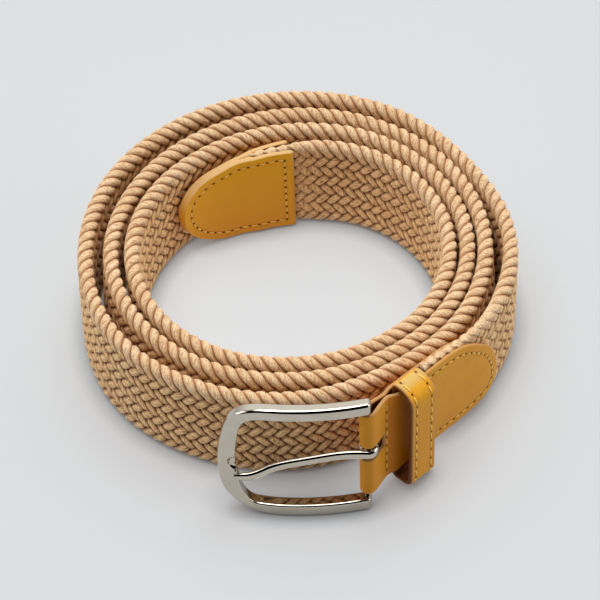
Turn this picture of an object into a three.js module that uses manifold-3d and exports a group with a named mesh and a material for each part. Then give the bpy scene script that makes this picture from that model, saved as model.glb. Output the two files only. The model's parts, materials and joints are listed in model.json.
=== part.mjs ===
// An elastic braided belt that lies coiled on its edge, three and a half turns, as for display.
// A flat braided band makes the coil. Two leather plies close its free end, a leather strap folded
// round the buckle's bar closes the other, and a leather keeper loop, a metal frame and a prong
// finish it. Millimetres, +Z up. The floor is z = 0 and the origin is below the middle of the whole.

import * as THREE from 'three';
import { mergeVertices } from 'three/addons/utils/BufferGeometryUtils.js';
import Module from 'manifold-3d';

const wasm = await Module();
wasm.setup();

// Driving dimensions
const bandHeight = 35;
const bandThickness = 4.6;
const rowCount = 8;
const rowDepth = 0.45;
const edgeFlat = 2.2;
const stationStep = 12;
const leatherStep = 6;
const clearance = 0.35;

const tipPly = { thickness: 1.25, halfHeight: 16.6, middle: 17.3, noseLength: 22, length: 38.4, nose: 141.4 };
const tipFillFrom = 107;
const bandEndBearing = -57.3;

const strapPly = { thickness: 1.5, halfHeight: 17.9, noseLength: 23 };
const squashedBand = 1.3;

const bar = { x: 18.8, y: -70.2, radius: 1 };
const slot = { radius: 5.4, bottom: 23.5, top: 28.9 };

const keeper = { along: 9.8, wall: 1.6, front: 7.2, back: -0.8, bottom: 0.85, top: 45, slope: 0.16, bearing: -62.4 };
const keeperCorner = { topFront: 5.9, bottomFront: 3.4, back: 1.9 };

const frameDepth = 3.3;
const frameBow = { apexX: 3, frontY: -73.9, radius: 85 };

const prong = { thickness: 1.7, height: 2.9, ringGap: 0.3 };

// The coil's centre in the part's own frame
const coilCentre = { x: -0.6, y: 4.2 };

// Radius of the band's middle about the coil's centre, by compass bearing and turn.
// The band winds clockwise, seen from above, and turn four ends in the buckle.
const coilTable = [
  { bearing: 90, turn1: 41.4, turn2: 49.1, turn3: 55.7, turn4: 63.1 },
  { bearing: 60, turn1: 44.2, turn2: 50.8, turn3: 56.5, turn4: 63.4 },
  { bearing: 30, turn1: 45.8, turn2: 51.6, turn3: 57.0, turn4: 62.4 },
  { bearing: 0, turn1: 46.2, turn2: 51.8, turn3: 56.9, turn4: 64.6 },
  { bearing: -30, turn1: 45.6, turn2: 50.7, turn3: 55.8, turn4: 62.9 },
  { bearing: -60, turn1: 44.0, turn2: 49.2, turn3: 54.3 },
  { bearing: -90, turn1: 43.7, turn2: 49.4, turn3: 56.3 },
  { bearing: -120, turn1: 45.2, turn2: 50.9, turn3: 58.6 },
  { bearing: -150, turn1: 47.1, turn2: 52.9, turn3: 61.3 },
  { bearing: -180, turn1: 48.5, turn2: 54.6, turn3: 62.4 },
  { bearing: -210, turn1: 48.6, turn2: 54.7, turn3: 63.2 },
  { bearing: -240, turn1: 48.2, turn2: 54.8, turn3: 63.2 },
];
const fullTurns = 3;
const lastTurn = -360 * fullTurns;

// The leather tip continues the coil backwards, inside its first turn
const tipPath = [
  { bearing: 150, radius: 44.9 },
  { bearing: 135, radius: 43.4 },
  { bearing: 120, radius: 41.2 },
  { bearing: 105, radius: 40.4 },
];

// The strap leaves the coil for the buckle's bar
const buckleEnd = [
  { bearing: -40, radius: 62.3 },
  { bearing: -50, radius: 62.6 },
  { bearing: -60, radius: 64.7 },
  { bearing: -66, radius: 67.0 },
  { bearing: -70.4, radius: 69.6 },
  { bearing: -74.9, radius: 72.7 },
];
const foldBearing = -70.4;

// How far the band has left the floor on its way to the bar
const riseTable = [
  { bearing: -12, rise: 0 },
  { bearing: -30, rise: 0.5 },
  { bearing: -40, rise: 2.1 },
  { bearing: -50, rise: 3.9 },
  { bearing: -60, rise: 6.1 },
  { bearing: -68, rise: 8.2 },
];

// How far the foot of the outer turn stands out beyond its top, on the left of the coil
const leanTable = [
  { bearing: lastTurn + 360 - 110, lean: 0 },
  { bearing: lastTurn + 360 - 150, lean: 1 },
  { bearing: lastTurn + 360 - 190, lean: 0.9 },
  { bearing: lastTurn + 360 - 230, lean: 0 },
];

// Half the band's thickness where leather squeezes it
const squeezeTable = [
  { bearing: lastTurn - 42, half: squashedBand / 2 },
  { bearing: lastTurn - 30, half: 1.5 },
  { bearing: lastTurn - 18, half: bandThickness / 2 },
  { bearing: 78, half: bandThickness / 2 },
  { bearing: 90, half: 1.2 },
  { bearing: 102, half: squashedBand / 2 },
];

// Half of what lies between the folded strap's plies: the band first, then the keeper's inner wall
const fillTable = [
  { bearing: lastTurn - 66.5, half: keeper.wall / 2 },
  { bearing: lastTurn - 59, half: keeper.wall / 2 },
  ...squeezeTable,
];

// The frame's outer and inner edge, from the end of its top arm to the end of its bottom arm
const frameTable = [
  { outerX: 19.7, outerZ: 49, innerX: 19.7, innerZ: 44.8 },
  { outerX: 11, outerZ: 49, innerX: 11, innerZ: 44.8 },
  { outerX: 2, outerZ: 49, innerX: 2, innerZ: 44.8 },
  { outerX: -6, outerZ: 49, innerX: -7, innerZ: 44.8 },
  { outerX: -11.5, outerZ: 48.8, innerX: -11.8, innerZ: 44.6 },
  { outerX: -15.3, outerZ: 47.7, innerX: -14.2, innerZ: 43.9 },
  { outerX: -18.4, outerZ: 45.4, innerX: -16, innerZ: 42.4 },
  { outerX: -20.6, outerZ: 41.8, innerX: -17.1, innerZ: 39.9 },
  { outerX: -22.1, outerZ: 37, innerX: -17.8, innerZ: 36.6 },
  { outerX: -23.2, outerZ: 31, innerX: -18.5, innerZ: 31 },
  { outerX: -23.9, outerZ: 25, innerX: -18.9, innerZ: 25.2 },
  { outerX: -24.1, outerZ: 19, innerX: -18.7, innerZ: 19.5 },
  { outerX: -23.8, outerZ: 14.2, innerX: -18.1, innerZ: 14.6 },
  { outerX: -22.8, outerZ: 10, innerX: -17.2, innerZ: 10.2 },
  { outerX: -20.8, outerZ: 6.6, innerX: -15.8, innerZ: 7.2 },
  { outerX: -18, outerZ: 3.6, innerX: -13.9, innerZ: 5.4 },
  { outerX: -14.6, outerZ: 1.5, innerX: -11.4, innerZ: 4.6 },
  { outerX: -10.5, outerZ: 0.3, innerX: -7.5, innerZ: 4.4 },
  { outerX: -4, outerZ: 0, innerX: -2, innerZ: 4.4 },
  { outerX: 3, outerZ: 0, innerX: 3, innerZ: 4.4 },
  { outerX: 11, outerZ: 0, innerX: 11, innerZ: 4.4 },
  { outerX: 19.7, outerZ: 0, innerX: 19.7, innerZ: 4.4 },
];

// Cross-section of the frame: from its outer to its inner edge, and from its front to its back
const frameSection = [
  { across: 0.1, depth: 0 }, { across: 0.88, depth: 0 },
  { across: 1, depth: 0.14 }, { across: 1, depth: 0.85 },
  { across: 0.85, depth: 1 }, { across: 0.15, depth: 1 },
  { across: 0, depth: 0.85 }, { across: 0, depth: 0.14 },
];

// Height of the folded strap's middle, by distance from the round nose of each ply
const strapMiddle = [
  { fromNose: 0, middle: 11.5 },
  { fromNose: 8, middle: 16.9 },
  { fromNose: 17, middle: 20.8 },
  { fromNose: 28, middle: 23.2 },
  { fromNose: 39, middle: 24.7 },
  { fromNose: 49, middle: 26.2 },
];
const strapNoseBearing = -27;

const radians = (degrees) => (degrees * Math.PI) / 180;

// A smooth curve through a table's rows, ordered by the key column
function smoothTable(rows, key, value) {
  const ordered = [...rows].sort((a, b) => a[key] - b[key]);
  const xs = ordered.map((row) => row[key]);
  const ys = ordered.map((row) => row[value]);
  const last = xs.length - 1;
  const slopes = xs.map((x, i) => {
    const before = Math.max(i - 1, 0);
    const after = Math.min(i + 1, last);
    return (ys[after] - ys[before]) / (xs[after] - xs[before]);
  });
  return (x) => {
    if (x <= xs[0]) return ys[0];
    if (x >= xs[last]) return ys[last];
    const i = xs.findIndex((edge, k) => k < last && x < xs[k + 1]);
    const span = xs[i + 1] - xs[i];
    const t = (x - xs[i]) / span;
    const rest = 1 - t;
    return ys[i] * (1 + 2 * t) * rest * rest + ys[i + 1] * t * t * (3 - 2 * t)
      + span * t * rest * (slopes[i] * rest - slopes[i + 1] * t);
  };
}

// Straight lines through a table's rows
function straightTable(rows, key, value) {
  const ordered = [...rows].sort((a, b) => a[key] - b[key]);
  return (x) => {
    const after = ordered.findIndex((row) => row[key] > x);
    if (after === 0) return ordered[0][value];
    if (after < 0) return ordered[ordered.length - 1][value];
    const low = ordered[after - 1];
    const high = ordered[after];
    return THREE.MathUtils.mapLinear(x, low[key], high[key], low[value], high[value]);
  };
}

function coilRows() {
  const rows = [...tipPath];
  for (let turn = 0; turn <= fullTurns; turn += 1) {
    for (const row of coilTable) {
      const radius = row[`turn${turn + 1}`];
      if (radius) rows.push({ bearing: row.bearing - 360 * turn, radius });
    }
  }
  for (const row of buckleEnd) rows.push({ bearing: row.bearing + lastTurn, radius: row.radius });
  return rows;
}

const radiusAt = smoothTable(coilRows(), 'bearing', 'radius');
const riseAt = smoothTable(riseTable, 'bearing', 'rise');
const halfBandAt = straightTable(squeezeTable, 'bearing', 'half');
const fillHalfAt = straightTable(fillTable, 'bearing', 'half');
const leanAt = smoothTable(leanTable, 'bearing', 'lean');
const strapMiddleAt = smoothTable(strapMiddle, 'fromNose', 'middle');

function pathPoint(bearing) {
  const radius = radiusAt(bearing);
  const angle = radians(bearing);
  return new THREE.Vector2(radius * Math.cos(angle), radius * Math.sin(angle));
}

// Outward normal of the path, to the left of the way from the tip to the buckle
function pathNormal(bearing) {
  const way = pathPoint(bearing - 0.5).sub(pathPoint(bearing + 0.5)).normalize();
  return new THREE.Vector2(-way.y, way.x);
}

function besidePath(bearing, outward) {
  return pathPoint(bearing).addScaledVector(pathNormal(bearing), outward);
}

// A closed solid through rings of points, each ring in the same order, with flat ends
function solidThroughRings(rings, capOutline) {
  const size = rings[0].length;
  const positions = rings.flat().flatMap((point) => [point.x, point.y, point.z]);
  const indices = [];
  for (let i = 0; i < rings.length - 1; i += 1) {
    for (let k = 0; k < size; k += 1) {
      const a = i * size + k;
      const b = i * size + ((k + 1) % size);
      indices.push(a, b, b + size, a, b + size, a + size);
    }
  }
  const lastRing = (rings.length - 1) * size;
  for (const [a, b, c] of THREE.ShapeUtils.triangulateShape(capOutline, [])) {
    indices.push(a, c, b);
    indices.push(lastRing + a, lastRing + b, lastRing + c);
  }
  const geometry = new THREE.BufferGeometry();
  geometry.setAttribute('position', new THREE.Float32BufferAttribute(positions, 3));
  geometry.setIndex(indices);
  return facingOut(geometry);
}

// Turns the triangles over where a solid came out with its inside facing out
function facingOut(geometry) {
  const position = geometry.getAttribute('position');
  const index = geometry.getIndex();
  const corner = (i) => new THREE.Vector3().fromBufferAttribute(position, index.getX(i));
  let volume = 0;
  for (let i = 0; i < index.count; i += 3) volume += corner(i).dot(corner(i + 1).cross(corner(i + 2)));
  if (volume < 0) {
    for (let i = 0; i < index.count; i += 3) {
      const second = index.getX(i + 1);
      index.setX(i + 1, index.getX(i + 2));
      index.setX(i + 2, second);
    }
  }
  return geometry;
}

// Boolean joins and cuts on closed geometry
function toManifold(geometry) {
  const plain = geometry.clone();
  plain.deleteAttribute('normal');
  plain.deleteAttribute('uv');
  const merged = mergeVertices(plain, 1e-4);
  return new wasm.Manifold(new wasm.Mesh({
    numProp: 3,
    vertProperties: new Float32Array(merged.getAttribute('position').array),
    triVerts: new Uint32Array(merged.getIndex().array),
  }));
}

function fromManifold(solid) {
  const mesh = solid.getMesh();
  const geometry = new THREE.BufferGeometry();
  geometry.setAttribute('position', new THREE.Float32BufferAttribute(mesh.vertProperties, 3));
  geometry.setIndex(Array.from(mesh.triVerts));
  return geometry;
}

// The braided band

// Cross-section across the band: rows of stitches stand out on both faces, the edges are rounded
function bandOutline() {
  const points = [];
  const rowHeight = bandHeight / rowCount;
  const side = (sign) => {
    const wall = [];
    for (let i = 1; i < 2 * rowCount; i += 1) {
      const height = (i * rowHeight) / 2;
      const onCrest = i % 2 === 1;
      const nearEdge = i === 1 || i === 2 * rowCount - 1;
      const depth = (onCrest ? 0 : rowDepth) + (nearEdge ? rowDepth : 0);
      wall.push(new THREE.Vector2(sign * (1 - (2 * depth) / bandThickness), height));
    }
    return wall;
  };
  const flat = edgeFlat / bandThickness;
  points.push(new THREE.Vector2(flat, 0), ...side(1));
  points.push(new THREE.Vector2(flat, bandHeight), new THREE.Vector2(-flat, bandHeight));
  points.push(...side(-1).reverse(), new THREE.Vector2(-flat, 0));
  return points;
}

function braidedBand() {
  const outline = bandOutline();
  const tipFrom = bearingsAt(tipPly.nose, -1, [tipPly.length])[0];
  const end = lastTurn + bandEndBearing;
  const bearings = [];
  let bearing = tipFillFrom;
  while (bearing > end) {
    bearings.push(bearing);
    const inLeather = bearing > 78 || bearing <= lastTurn - 18;
    bearing -= inLeather ? leatherStep : stationStep;
  }
  bearings[bearings.length - 1] = end;
  const rings = bearings.map((place) => {
    const half = halfBandAt(place);
    const inTip = place > tipFrom;
    const lean = leanAt(place);
    const height = inTip ? (2 * tipPly.halfHeight) / bandHeight : 1;
    const rise = inTip ? tipPly.middle - tipPly.halfHeight : riseAt(place - lastTurn);
    return outline.map((point) => {
      const spot = besidePath(place, point.x * half + lean * (1 - point.y / bandHeight));
      return new THREE.Vector3(spot.x, spot.y, point.y * height + rise);
    });
  });
  return solidThroughRings(rings, outline);
}

// Leather plies

// Half the height of a ply with a round nose, at a distance from the tip of the nose
function noseHalfHeight(ply, fromNose) {
  const t = 1 - Math.min(fromNose, ply.noseLength) / ply.noseLength;
  return ply.halfHeight * Math.sqrt(1 - t * t);
}

// Distances from the nose that suit its curve, then even steps to the far end
function noseSteps(ply, length) {
  const steps = [0.35, 1.5, 3.6, 6.6, 10.5, 15.5, ply.noseLength];
  const evenStep = 6.5;
  const count = Math.round((length - ply.noseLength) / evenStep);
  for (let i = 1; i <= count; i += 1) {
    steps.push(ply.noseLength + ((length - ply.noseLength) * i) / count);
  }
  return steps;
}

// A wall of even thickness that stands on a plan line: stations hold a plan point and two heights
function standingWall(stations, thickness) {
  const rings = stations.map((station, i) => {
    const before = stations[Math.max(i - 1, 0)].plan;
    const after = stations[Math.min(i + 1, stations.length - 1)].plan;
    const way = after.clone().sub(before).normalize();
    const across = new THREE.Vector2(-way.y, way.x).multiplyScalar(thickness / 2);
    const left = station.plan.clone().add(across);
    const right = station.plan.clone().sub(across);
    return [
      new THREE.Vector3(right.x, right.y, station.bottom),
      new THREE.Vector3(left.x, left.y, station.bottom),
      new THREE.Vector3(left.x, left.y, station.top),
      new THREE.Vector3(right.x, right.y, station.top),
    ];
  });
  const cap = [[0, 0], [1, 0], [1, 1], [0, 1]].map(([x, y]) => new THREE.Vector2(x, y));
  return solidThroughRings(rings, cap);
}

// Bearings at given distances along the strap's path, from a start bearing
function bearingsAt(start, sign, distances) {
  const step = 0.25;
  const found = [];
  let bearing = start;
  let travelled = 0;
  for (const distance of distances) {
    while (travelled < distance) {
      travelled += pathPoint(bearing).distanceTo(pathPoint(bearing + sign * step));
      bearing += sign * step;
    }
    found.push(bearing);
  }
  return found;
}

// Side 1 is the outer face of the coil and side -1 the inner one
function tipWall(side) {
  const closed = clearance / 2;
  const steps = noseSteps(tipPly, tipPly.length);
  const bearings = bearingsAt(tipPly.nose, -1, steps);
  const stations = steps.map((fromNose, i) => {
    const bearing = bearings[i];
    const open = bearing > tipFillFrom + 7 ? closed : halfBandAt(bearing) + clearance;
    const half = noseHalfHeight(tipPly, fromNose);
    return {
      plan: besidePath(bearing, side * (open + tipPly.thickness / 2)),
      bottom: tipPly.middle - half,
      top: tipPly.middle + half,
    };
  });
  return standingWall(stations, tipPly.thickness);
}

// One strap: front ply, fold round the bar, back ply
function strapStations() {
  const start = lastTurn + strapNoseBearing;
  const end = lastTurn + foldBearing;
  const pinch = pathPoint(end);
  const axis = new THREE.Vector2(bar.x, bar.y);
  let length = 0;
  for (let bearing = start; bearing > end; bearing -= 0.5) {
    length += pathPoint(bearing).distanceTo(pathPoint(bearing - 0.5));
  }
  const steps = noseSteps(strapPly, length);
  const bearings = bearingsAt(start, -1, steps);
  const closed = clearance / 2 + strapPly.thickness / 2;
  const half = (fromNose) => noseHalfHeight(strapPly, fromNose);
  const ply = (side) => steps.map((fromNose, i) => {
    const keeperEnd = lastTurn - 68.5;
    const filled = fillHalfAt(bearings[i]) + clearance + strapPly.thickness / 2;
    const offset = bearings[i] > keeperEnd ? filled : closed;
    return {
      plan: besidePath(bearings[i], side * offset),
      bottom: strapMiddleAt(fromNose) - half(fromNose),
      top: strapMiddleAt(fromNose) + half(fromNose),
    };
  });
  const foldRadius = bar.radius + clearance + strapPly.thickness / 2;
  const towardsPinch = pinch.clone().sub(axis).angle();
  const firstTouch = radians(77);
  const foldSteps = 12;
  const fold = [];
  for (let i = 0; i <= foldSteps; i += 1) {
    const turn = -firstTouch - ((2 * Math.PI - 2 * firstTouch) * i) / foldSteps;
    const angle = towardsPinch + turn;
    fold.push({
      plan: axis.clone().add(new THREE.Vector2(Math.cos(angle), Math.sin(angle)).multiplyScalar(foldRadius)),
      bottom: strapMiddleAt(length) - strapPly.halfHeight,
      top: strapMiddleAt(length) + strapPly.halfHeight,
    });
  }
  return [...ply(1), ...fold, ...ply(-1).reverse()];
}

function foldedStrap() {
  const strap = toManifold(standingWall(strapStations(), strapPly.thickness));
  const slotHeight = slot.top - slot.bottom;
  const cutter = new THREE.CylinderGeometry(slot.radius, slot.radius, slotHeight, 24);
  cutter.rotateX(Math.PI / 2);
  cutter.translate(bar.x, bar.y, (slot.bottom + slot.top) / 2);
  return fromManifold(strap.subtract(toManifold(cutter)));
}

// The keeper runs over the front ply and back between the plies; it is sheared to follow the strap
function loopOutline(front, back, bottom, top, corner) {
  const corners = [
    { x: front, y: bottom, radius: corner.bottomFront, inwardX: -1, inwardY: 1, from: -90 },
    { x: front, y: top, radius: corner.topFront, inwardX: -1, inwardY: -1, from: 0 },
    { x: back, y: top, radius: corner.back, inwardX: 1, inwardY: -1, from: 90 },
    { x: back, y: bottom, radius: corner.back, inwardX: 1, inwardY: 1, from: 180 },
  ];
  const cornerSteps = 6;
  return corners.flatMap(({ x, y, radius, inwardX, inwardY, from }) => {
    const centre = new THREE.Vector2(x + inwardX * radius, y + inwardY * radius);
    return Array.from({ length: cornerSteps + 1 }, (_, i) => {
      const angle = radians(from + (90 * i) / cornerSteps);
      return new THREE.Vector2(Math.cos(angle), Math.sin(angle)).multiplyScalar(radius).add(centre);
    });
  });
}

function keeperLoop() {
  const { wall, front, back, bottom, top } = keeper;
  const innerCorner = {
    topFront: keeperCorner.topFront - wall,
    bottomFront: keeperCorner.bottomFront - wall,
    back: keeperCorner.back - wall,
  };
  const outline = new THREE.Shape(loopOutline(front, back, bottom, top, keeperCorner));
  const hole = loopOutline(front - wall, back + wall, bottom + wall, top - wall, innerCorner);
  outline.holes.push(new THREE.Path(hole));
  const loop = new THREE.ExtrudeGeometry(outline, { depth: keeper.along, bevelEnabled: false });
  loop.translate(0, 0, -keeper.along / 2);
  const bearing = lastTurn + keeper.bearing;
  const place = pathPoint(bearing);
  const outward = pathNormal(bearing);
  const across = new THREE.Vector3(outward.x, outward.y, 0);
  const up = new THREE.Vector3(0, 0, 1);
  const along = new THREE.Vector3().crossVectors(across, up);
  along.z = keeper.slope;
  loop.applyMatrix4(new THREE.Matrix4().makeBasis(across, up, along));
  loop.translate(place.x, place.y, 0);
  return loop;
}

// Metal

function frameFrontY(x) {
  const offset = x - frameBow.apexX;
  return frameBow.frontY + (offset * offset) / (2 * frameBow.radius);
}

function frameHoop() {
  const rings = frameTable.map(({ outerX, outerZ, innerX, innerZ }) => (
    frameSection.map(({ across, depth }) => {
      const x = THREE.MathUtils.lerp(outerX, innerX, across);
      const z = THREE.MathUtils.lerp(outerZ, innerZ, across);
      return new THREE.Vector3(x, frameFrontY(x) + depth * frameDepth, z);
    })
  ));
  const cap = frameSection.map(({ across, depth }) => new THREE.Vector2(across, depth));
  return solidThroughRings(rings, cap);
}

function buckleFrame() {
  const bottom = frameTable[frameTable.length - 1];
  const top = frameTable[0];
  const low = (bottom.outerZ + bottom.innerZ) / 2;
  const high = (top.outerZ + top.innerZ) / 2;
  const rod = new THREE.CylinderGeometry(bar.radius, bar.radius, high - low, 16);
  rod.rotateX(Math.PI / 2);
  rod.translate(bar.x, bar.y, (low + high) / 2);
  return fromManifold(toManifold(frameHoop()).add(toManifold(rod)));
}

// The prong lies on the side bar, bends over it, and curls round the hinge bar
const prongTable = [
  { x: -20.3, y: -72.5, z: 18.6, size: 0.55 },
  { x: -18.0, y: -72.8, z: 18.9, size: 0.85 },
  { x: -15.2, y: -73.0, z: 19.2, size: 1 },
  { x: -12.4, y: -72.7, z: 20.0, size: 1 },
  { x: -9.4, y: -72.1, z: 21.1, size: 1 },
  { x: -5.5, y: -71.8, z: 22.3, size: 1 },
  { x: 2.5, y: -71.7, z: 24.0, size: 1 },
  { x: 10.0, y: -71.7, z: 25.5, size: 1 },
  { x: 14.0, y: -71.9, z: 26.0, size: 1 },
];

function buckleProng() {
  const curlRadius = bar.radius + prong.ringGap + prong.thickness / 2;
  const line = prongTable.map((row) => ({ ...row }));
  const curlSteps = 12;
  const curlFrom = -105;
  const curlTo = 165;
  for (let i = 0; i <= curlSteps; i += 1) {
    const angle = radians(THREE.MathUtils.lerp(curlFrom, curlTo, i / curlSteps));
    line.push({
      x: bar.x + curlRadius * Math.cos(angle), y: bar.y + curlRadius * Math.sin(angle), z: 26.2, size: 1,
    });
  }
  const section = [
    { out: 1, up: 0.45 }, { out: 0.5, up: 1 }, { out: -0.5, up: 1 }, { out: -1, up: 0.45 },
    { out: -1, up: -0.45 }, { out: -0.5, up: -1 }, { out: 0.5, up: -1 }, { out: 1, up: -0.45 },
  ];
  const rings = line.map((row, i) => {
    const before = line[Math.max(i - 1, 0)];
    const after = line[Math.min(i + 1, line.length - 1)];
    const way = new THREE.Vector2(after.x - before.x, after.y - before.y).normalize();
    return section.map(({ out, up }) => {
      const offset = (out * prong.thickness * row.size) / 2;
      const lift = (up * prong.height * row.size) / 2;
      return new THREE.Vector3(row.x - way.y * offset, row.y + way.x * offset, row.z + lift);
    });
  });
  return solidThroughRings(rings, section.map(({ out, up }) => new THREE.Vector2(out, up)));
}

// Materials, one for each sub-part

const braid = () => new THREE.MeshStandardMaterial({ color: 0xcfa273, roughness: 0.9, metalness: 0 });
const leather = () => new THREE.MeshStandardMaterial({ color: 0xb98524, roughness: 0.5, metalness: 0 });
const nickel = () => new THREE.MeshStandardMaterial({ color: 0xcfcac2, roughness: 0.15, metalness: 1 });

const belt = new THREE.Group();

function addPart(name, geometry, material) {
  const mesh = new THREE.Mesh(geometry, material);
  mesh.name = name;
  belt.add(mesh);
}

addPart('braided_band', braidedBand(), braid());
addPart('tip_front_ply', tipWall(-1), leather());
addPart('tip_back_ply', tipWall(1), leather());
addPart('buckle_strap', foldedStrap(), leather());
addPart('keeper_loop', keeperLoop(), leather());
addPart('buckle_frame', buckleFrame(), nickel());
addPart('buckle_prong', buckleProng(), nickel());
belt.position.set(coilCentre.x, coilCentre.y, 0);

export default belt;
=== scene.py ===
"""Elastic braided belt, coiled on its edge on a pale floor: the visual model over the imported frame.

Tables and sizes are in millimetres, as in the CAD part, and meshes are made in metres. Bearings
are degrees round the coil's centre: 0 is +X and 90 is +Y. The band winds clockwise from the
leather tip, inside, to the buckle, outside.
"""

import json
import math

import bmesh
import bpy
import numpy as np
from mathutils import Matrix, Vector

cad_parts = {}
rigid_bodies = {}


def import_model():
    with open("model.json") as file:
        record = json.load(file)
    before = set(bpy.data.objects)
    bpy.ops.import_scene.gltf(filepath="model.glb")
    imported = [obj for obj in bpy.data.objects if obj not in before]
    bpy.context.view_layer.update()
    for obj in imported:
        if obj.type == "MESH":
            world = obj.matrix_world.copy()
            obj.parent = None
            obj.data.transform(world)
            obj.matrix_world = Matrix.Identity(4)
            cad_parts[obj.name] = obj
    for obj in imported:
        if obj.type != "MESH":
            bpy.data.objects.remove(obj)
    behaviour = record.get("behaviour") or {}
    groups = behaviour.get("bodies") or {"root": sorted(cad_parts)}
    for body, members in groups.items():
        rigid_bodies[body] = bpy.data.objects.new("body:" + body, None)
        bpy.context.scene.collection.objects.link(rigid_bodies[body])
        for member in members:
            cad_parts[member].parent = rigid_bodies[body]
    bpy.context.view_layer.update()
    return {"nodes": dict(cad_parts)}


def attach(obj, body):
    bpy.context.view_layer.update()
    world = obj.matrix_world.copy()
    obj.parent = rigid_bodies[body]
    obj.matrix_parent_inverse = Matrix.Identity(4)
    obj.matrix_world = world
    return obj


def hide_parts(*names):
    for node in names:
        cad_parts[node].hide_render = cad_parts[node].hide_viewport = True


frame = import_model()

MM = 0.001
UP = np.array([0.0, 0.0, 1.0])

# Driving dimensions. The coil is the part's; some leather and metal sizes follow the photo closer
BAND_HEIGHT = 35.0
BAND_THICKNESS = 4.6
SQUASHED_BAND = 1.3
CLEARANCE = 0.35
COIL_CENTRE = np.array([-0.6, 4.2])
COIL_STEP = 0.2

TIP = {"thickness": 1.5, "rounding": 0.26, "half": 16.6, "middle": 17.3, "nose_length": 22.0,
       "length": 38.4, "back_length": 37.2, "nose": 141.4}
STRAP = {"thickness": 1.2, "rounding": 0.5, "half": 17.9, "nose_length": 23.0, "nose": -27.0}

# Where the leather's outline leaves its plain shape, by distance from a nose
TIP_SAG = {"depth": 1.0, "from": (0, 7), "to": (13, 24)}
TIP_DIP = {"depth": 0.7, "from": (6, 15), "to": (19, 32)}
STRAP_SHOULDER = {"depth": 1.2, "from": (3, 10), "to": (45, 50)}
STRAP_LOBE = {"depth": 0.9, "from": (43.5, 46.5)}

# The bearing where the cords begin, and how many degrees before and after it the plies part
CORDS_FROM = 107.0
PARTING = {"tip_front_ply": 9, "tip_back_ply": 6, "after": 2}

BAR = {"radius": 1.0, "levels": (2.2, 3.0, 46.0, 46.9), "sides": 32}
BAR_AXIS = np.array([18.8, -70.2])
SLOT = {"radius": 5.4, "bottom": 23.5, "top": 28.9}
KEEPER = {"along": 10.4, "wall": 1.6, "front": 7.2, "back": -0.8, "bottom": 0.85, "top": 44.1,
          "slope": 0.16, "bearing": -62.8, "top_front": 5.9, "bottom_front": 3.4, "back_corner": 1.9,
          "rounding": 0.5, "seam_inset": 2.0, "seam_past_top": 4.4}
FRAME_DEPTH = 3.6
FRAME_BOW = {"apex_x": 3.0, "front_y": -74.2, "radius": 85.0}
FRAME_ROUNDING = {"outer": 1.05, "inner": 0.6, "end": 1.2}
PRONG = {"thickness": 1.9, "height": 3.2, "corner": 1.5, "end_round": 0.6, "blunt_end": 0.1,
         "ring_radius": 2.15, "ring_z": 26.2, "ring_from": -105, "ring_to": 165}

# The hollow in the side bar that the prong's tip can rest in
REST = {"x": -18.5, "z": 23.3, "half_x": 2.8, "half_z": 3.0, "depth": 0.9, "reach": 0.6}

FULL_TURNS = 3
LAST_TURN = -360.0 * FULL_TURNS

# Radius of the band's middle, by bearing, for turns 1 to 4
COIL_TABLE = [
    (90, 41.4, 49.1, 55.7, 63.1),
    (60, 44.2, 50.8, 56.5, 63.4),
    (30, 45.8, 51.6, 57.0, 62.4),
    (0, 46.2, 51.8, 56.9, 64.6),
    (-30, 45.6, 50.7, 55.8, 62.9),
    (-60, 44.0, 49.2, 54.3, None),
    (-90, 43.7, 49.4, 56.3, None),
    (-120, 45.2, 50.9, 58.6, None),
    (-150, 47.1, 52.9, 61.3, None),
    (-180, 48.5, 54.6, 62.4, None),
    (-210, 48.6, 54.7, 63.2, None),
    (-240, 48.2, 54.8, 63.2, None),
]
TIP_PATH = [(150, 44.9), (135, 43.4), (120, 41.2), (105, 40.4)]
BUCKLE_END = [(-40, 62.3), (-50, 62.6), (-60, 64.7), (-66, 67.0), (-70.4, 69.6), (-74.9, 72.7)]

# Where the band ends between the plies and where the strap folds, by bearing in the last turn
BAND_END = -57.3
FOLD_BEARING = -70.4

# How far the band has left the floor, by bearing in the last turn
RISE_TABLE = [(-12, 0.0), (-30, 0.5), (-40, 2.1), (-45, 3.7), (-50, 5.2), (-60, 7.6), (-68, 9.0)]

# How far the foot of a turn stands out beyond its top
LEAN_TABLE = [
    (LAST_TURN + 620, 0.0), (LAST_TURN + 570, 2.2), (LAST_TURN + 530, 2.2), (LAST_TURN + 480, 0.0),
    (LAST_TURN + 420, 0.0), (LAST_TURN + 375, 2.2), (LAST_TURN + 335, 2.2), (LAST_TURN + 300, 0.0),
    (LAST_TURN + 250, 0.0), (LAST_TURN + 210, 1.0), (LAST_TURN + 170, 0.9), (LAST_TURN + 130, 0.0),
]

# Half the band's thickness where leather squeezes it
SQUEEZE_TABLE = [
    (LAST_TURN - 42, SQUASHED_BAND / 2),
    (LAST_TURN - 30, 1.5),
    (LAST_TURN - 18, BAND_THICKNESS / 2),
    (78, BAND_THICKNESS / 2),
    (90, 1.2),
    (102, SQUASHED_BAND / 2),
]
# Half of what the strap's plies hold between them, which is the keeper and then the band
FILL_TABLE = [(LAST_TURN - 66.5, KEEPER["wall"] / 2), (LAST_TURN - 59, KEEPER["wall"] / 2)]
FILL_TABLE += SQUEEZE_TABLE

# Height of the folded strap's middle, by distance from a ply's nose
STRAP_MIDDLE = [(0, 11.5), (8, 16.9), (17, 20.8), (28, 23.2), (39, 24.7), (49, 26.2)]

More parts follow.
